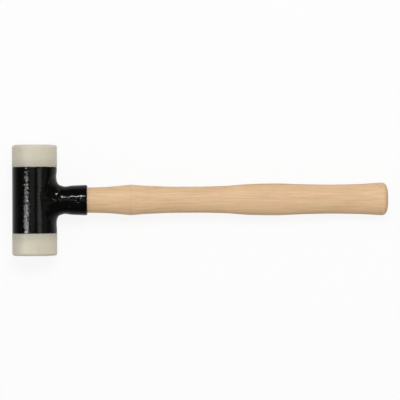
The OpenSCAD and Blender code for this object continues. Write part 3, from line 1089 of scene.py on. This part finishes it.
class HAMMER_OT_pin(bpy.types.Operator):
    """Rolls the slotted spring pin, its bore closed by the lacquer, that crosses socket and tenon"""

    bl_idname = "hammer.pin"
    bl_label = "Handle pin"

    def execute(self, context):
        scene = context.scene
        socket = scene.hammer_socket
        end, straight = socket.pin_length / 2, socket.pin_length / 2 - PIN_BEVEL
        heights = ((-end, PIN_BEVEL), (-straight, 0.0), (straight, 0.0), (end, PIN_BEVEL))
        shape = bmesh.new()
        rings = []
        for height, inset in heights:
            rings.append([shape.verts.new((x, y, height)) for x, y in pin_section(socket, inset)])
        bridge(shape, zip(rings, rings[1:]))
        shape.faces.new(rings[0][::-1])
        shape.faces.new(rings[-1])
        film = socket.pin_diameter / 2 - FILM_GAP
        for side in (-1, 1):
            sunk = Matrix.Translation((0, 0, side * (end - FILM_SUNK)))
            flat = sunk @ Matrix.Diagonal((1, 1, FILM_FLAT, 1))
            bmesh.ops.create_uvsphere(shape, u_segments=40, v_segments=12, radius=film, matrix=flat)
            lacquer_bead(shape, socket, side)
        mesh = mesh_of(shape, "spring_pin")
        mesh.transform(Matrix.Translation((socket.reach - socket.pin_setback, 0, 0)))
        piece = add_object("spring_pin", mesh)
        cleaned(piece)
        stand(piece, "handle_pin", "hammer", scene, finish_of(scene, "pin"))
        return {"FINISHED"}


# Handle


def chord(stations, i, c):
    return (stations[i + 1][c] - stations[i][c]) / (stations[i + 1][0] - stations[i][0])


def slope_at(stations, i, c):
    """Slope of a fair curve at a station, which never runs past its stations."""
    if i == 0:
        return chord(stations, 0, c)
    if i == len(stations) - 1:
        return chord(stations, i - 1, c)
    before, after = chord(stations, i - 1, c), chord(stations, i, c)
    return 0.0 if before * after <= 0 else 2 * before * after / (before + after)


def faired(stations, steps):
    """Stations with a fair curve drawn through them, without the last one."""
    points = []
    for i in range(len(stations) - 1):
        a, b = stations[i], stations[i + 1]
        run = b[0] - a[0]
        for k in range(steps):
            t = k / steps
            sizes = [
                a[c] * (1 + 2 * t) * (1 - t) ** 2
                + run * slope_at(stations, i, c) * t * (1 - t) ** 2
                + b[c] * t * t * (3 - 2 * t)
                - run * slope_at(stations, i + 1, c) * t * t * (1 - t)
                for c in (1, 2)
            ]
            points.append((a[0] + run * t, *sizes))
    return points


TENON_STEPS, DOME_STEPS, DOME_POWER = 12, 22, 3.0


def handle_stations(head, socket, handle):
    """Reach, width and depth along the handle, from its tenon to the tip of its domed butt."""
    mouth = socket.reach
    fit = 2 * (bore_radius(socket, mouth) - handle.fit_gap)
    tenon = head.tube_diameter / 2 + handle.tenon_gap
    tenon_fit = 2 * (bore_radius(socket, tenon) - handle.fit_gap)
    end = mouth + handle.handle_length
    butt_at = end - handle.butt_dome
    ridge = (mouth + handle.ridge_from_mouth, handle.ridge_width, handle.ridge_depth)
    waist = (mouth + handle.waist_from_mouth, handle.waist_width, handle.waist_depth)
    waist_end = (waist[0] + handle.waist_length, *waist[1:])
    belly = (end - handle.belly_from_butt, handle.belly_width, handle.belly_depth)
    throat = (end - handle.throat_from_butt, handle.throat_width, handle.throat_depth)
    butt = (butt_at, handle.butt_width, handle.butt_depth)
    socketed = (mouth, fit, fit)

    def steered(a, b, along, rise):
        return (between(a[0], b[0], along), between(a[1], b[1], rise), between(a[2], b[2], rise))

    front = [socketed, steered(socketed, ridge, 0.4, 0.16), ridge]
    rear = [ridge, steered(ridge, waist, 0.33, 0.52), waist, waist_end]
    rear += [steered(waist_end, belly, 0.33, 0.18), steered(waist_end, belly, 0.67, 0.83), belly]
    rear += [steered(belly, throat, 0.53, 0.68), throat, steered(throat, butt, 0.57, 0.31), butt]
    points = [(tenon, 0.0, 0.0), (tenon, tenon_fit, tenon_fit)]
    points += [(reach, size, size) for reach, size in evenly((tenon, tenon_fit), (mouth, fit), TENON_STEPS)]
    points += faired(front, handle.span_steps) + faired(rear, handle.span_steps)
    for k in range(DOME_STEPS + 1):
        turn = pi / 2 * k / DOME_STEPS
        shrink = cos(turn) ** (2 / DOME_POWER) if k < DOME_STEPS else 0.0
        place = butt_at + handle.butt_dome * sin(turn) ** (2 / DOME_POWER)
        points.append((place, handle.butt_width * shrink, handle.butt_depth * shrink))
    return points


class HAMMER_OT_handle(bpy.types.Operator):
    """Lofts the ash handle and drills its tenon for the pin"""

    bl_idname = "hammer.handle"
    bl_label = "Ash handle"

    def execute(self, context):
        scene = context.scene
        head, socket, handle = scene.hammer_head, scene.hammer_socket, scene.hammer_handle
        ash = finish_of(scene, "ash")
        stations = [(x, w / 2, d / 2) for x, w, d in handle_stations(head, socket, handle)]
        values = {
            "Sides": handle.sides,
            "Mouth reach": socket.reach,
            "Ridge reach": socket.reach + handle.ridge_from_mouth,
            "Material": ash,
        }
        piece = grown("ash_handle", handle_tree(), stations, values)
        cleaned(piece)
        drilled(piece, socket)
        cleaned(piece)
        stand(piece, "handle", "hammer", scene, ash)
        return {"FINISHED"}


# Inside of the head


class HAMMER_OT_shot(bpy.types.Operator):
    """Packs the loose steel shot in its chamber and finishes the discs that close it"""

    bl_idname = "hammer.shot"
    bl_label = "Shot and discs"

    def execute(self, context):
        scene = context.scene
        head, shot = scene.hammer_head, scene.hammer_shot
        steel = finish_of(scene, "shot")
        bore = head.tube_diameter / 2 - head.tube_wall
        ball = (2 * bore - (shot.across + 1) * shot.gap) / shot.across
        values = {
            "Half count": shot.across,
            "Layers": shot.layers,
            "Ball diameter": ball,
            "Step": ball + shot.gap,
            "Limit": bore - ball / 2 - 0.9 * shot.gap,
            "First layer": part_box("steel_shot")[0][1] + ball / 2,
            "Material": steel,
        }
        piece = grown("steel_shot_charge", shot_tree(), [(0.0, 0.0, 0.0)], values)
        cleaned(piece)
        stand(piece, "steel_shot", "shot_charge", scene, steel)
        for node in ("back_disc", "front_disc"):
            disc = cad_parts[node]
            disc.data.materials.clear()
            disc.data.materials.append(finish_of(scene, "disc"))
        return {"FINISHED"}


# Stage


def area_light(name, place, size, watts):
    lamp = bpy.data.lights.new(name, "AREA")
    lamp.shape = "RECTANGLE"
    lamp.size, lamp.size_y = size
    lamp.energy = watts
    light = bpy.data.objects.new(name, lamp)
    light.location = place
    light.rotation_euler = (Vector(LIGHT_AIM) - Vector(place)).to_track_quat("-Z", "Y").to_euler()
    bpy.context.scene.collection.objects.link(light)
    return light


def seen_directly(sheet):
    """Mask of the rays that show a background: the camera's own, mirrored and refracted ones."""
    path = sheet.add("ShaderNodeLightPath").outputs
    seen = sheet.math("MAXIMUM", path["Is Camera Ray"], path["Is Glossy Ray"])
    return sheet.math("MAXIMUM", seen, path["Is Transmission Ray"])


WHITE = (1.0, 1.0, 1.0, 1.0)
FLOOR_SIZE, FLOOR_DROP = 4.0, 0.2 * MM
# Share of the floor that shows plain white; the rest takes the shadow
FLOOR_WHITE = 0.88
# The gloss sees the floor as a pool of light beside the head, which fades out between two distances
POOL_MIDDLE = (HEAD_MIDDLE.x + 20 * MM, 30 * MM, 0.0)
POOL_FADE = (55 * MM, 140 * MM)
POOL_LEVELS = (0.76, 0.18)


def floor_finish(rgb):
    """Pale floor that shows white to the camera and keeps a faint shadow."""
    material = bpy.data.materials.new("pale_floor")
    material.use_nodes = True
    material.node_tree.nodes.clear()
    sheet = NodeSheet(material.node_tree)
    lit = sheet.add("ShaderNodeBsdfDiffuse", {"Color": tone(rgb)})
    mirrored = sheet.add("ShaderNodeLightPath").outputs["Is Glossy Ray"]
    place = sheet.add("ShaderNodeTexCoord").outputs["Object"]
    away = sheet.add("ShaderNodeVectorMath", {0: place, 1: POOL_MIDDLE}, operation="DISTANCE")
    pool = sheet.spread(away.outputs["Value"], *POOL_FADE, *POOL_LEVELS, smooth=True)
    level = sheet.spread(mirrored, 0.0, 1.0, 1.0, pool)
    white = sheet.add("ShaderNodeEmission", {"Color": WHITE, "Strength": level})
    share = sheet.times(seen_directly(sheet), FLOOR_WHITE)
    mixed = sheet.add("ShaderNodeMixShader", {0: share, 1: lit.outputs[0], 2: white.outputs[0]})
    sheet.add("ShaderNodeOutputMaterial", {"Surface": mixed.outputs[0]})
    return material


def white_world(scene, strength):
    """Even light from above with a white horizon; the gloss shows only the floor and the cards."""
    world = bpy.data.worlds.new("pale_surroundings")
    world.use_nodes = True
    world.node_tree.nodes.clear()
    sheet = NodeSheet(world.node_tree)
    height = sheet.split(sheet.add("ShaderNodeTexCoord").outputs["Generated"])[2]
    horizon = sheet.spread(seen_directly(sheet), 0.0, 1.0, strength, 1.0)
    level = sheet.spread(height, 0.1, 0.2, horizon, strength, smooth=True)
    white = sheet.add("ShaderNodeBackground", {"Color": WHITE, "Strength": level})
    sheet.add("ShaderNodeOutputWorld", {"Surface": white.outputs[0]})
    world.cycles_visibility.glossy = False
    scene.world = world


# Where the camera stands beside the hammer's middle, and what the lights are turned to
CAMERA_SHIFT = (-0.3 * MM, -0.28 * MM)
LIGHT_AIM = (-0.06, 0.0, 0.02)
# Place and size of the cards, which only show in the gloss, as a photographer's cards do
CARDS = {
    "bright": ((-0.09, 0.66, 1.19), (0.55, 0.13)),
    "line": ((-0.32, 0.64, 1.17), (0.9, 0.22)),
    "side": ((-1.05, -0.21, 1.15), (0.31, 0.48)),
    "top": ((0.59, -0.06, 1.25), (0.4, 0.5)),
    "glow": ((0.98, -0.06, 0.71), (0.4, 0.6)),
    "dim": ((-0.33, 0.07, 1.25), (0.35, 0.58)),
    "rear": ((-0.96, -1.09, 0.67), (0.5, 0.35)),
}


class HAMMER_OT_stage(bpy.types.Operator):
    """Sets the camera, the pale floor and the soft lights"""

    bl_idname = "hammer.stage"
    bl_label = "Stage"

    def execute(self, context):
        scene = context.scene
        stage = scene.hammer_stage
        lens = bpy.data.cameras.new("Camera")
        lens.sensor_width = 36.0
        lens.lens = lens.sensor_width * stage.camera_distance / stage.view_width
        lens.clip_end = 50.0
        camera = bpy.data.objects.new("Camera", lens)
        camera.location = (*CAMERA_SHIFT, HEAD_MIDDLE.z + stage.camera_distance)
        camera.rotation_euler.z = -stage.camera_roll
        scene.collection.objects.link(camera)
        scene.camera = camera

        shape = bmesh.new()
        bmesh.ops.create_grid(shape, x_segments=2, y_segments=2, size=FLOOR_SIZE)
        mesh = mesh_of(shape, "floor")
        mesh.materials.append(floor_finish(stage.floor_colour))
        floor = add_object("floor", mesh)
        floor.location.z = -FLOOR_DROP

        white_world(scene, stage.sky)
        key = area_light("key", (0.06, 0.51, 1.3), (0.6, 0.4), stage.key_power)
        key.visible_glossy = False
        for name, (place, size) in CARDS.items():
            card = area_light(name + " card", place, size, getattr(stage, name + "_power"))
            card.visible_diffuse = False
        scene.view_settings.view_transform = "Standard"
        return {"FINISHED"}


class HAMMER_PT_build(bpy.types.Panel):
    """Lists the hammer's pieces in the order that they are made"""

    bl_idname = "HAMMER_PT_build"
    bl_label = "Soft face hammer"
    bl_space_type = "VIEW_3D"
    bl_region_type = "UI"
    bl_category = "Hammer"

    def draw(self, context):
        for operator in OPERATORS:
            self.layout.operator(operator.bl_idname)


SETTINGS = {
    "hammer_head": HammerHeadSettings,
    "hammer_socket": HammerSocketSettings,
    "hammer_handle": HammerHandleSettings,
    "hammer_shot": HammerShotSettings,
    "hammer_finish": HammerFinishSettings,
    "hammer_stage": HammerStageSettings,
}
OPERATORS = (
    HAMMER_OT_stage,
    HAMMER_OT_head_tube,
    HAMMER_OT_faces,
    HAMMER_OT_socket,
    HAMMER_OT_weld,
    HAMMER_OT_pin,
    HAMMER_OT_handle,
    HAMMER_OT_shot,
)
CLASSES = (*SETTINGS.values(), *OPERATORS, HAMMER_PT_build)


def register():
    for item in CLASSES:
        bpy.utils.register_class(item)
    for name, group_class in SETTINGS.items():
        setattr(bpy.types.Scene, name, PointerProperty(type=group_class))


def unregister():
    for name in SETTINGS:
        delattr(bpy.types.Scene, name)
    for item in reversed(CLASSES):
        bpy.utils.unregister_class(item)


def main():
    register()
    bpy.ops.hammer.stage()
    bpy.ops.hammer.head_tube()
    bpy.ops.hammer.faces()
    bpy.ops.hammer.socket()
    bpy.ops.hammer.weld()
    bpy.ops.hammer.pin()
    bpy.ops.hammer.handle()
    bpy.ops.hammer.shot()


if __name__ == "__main__":
    main()
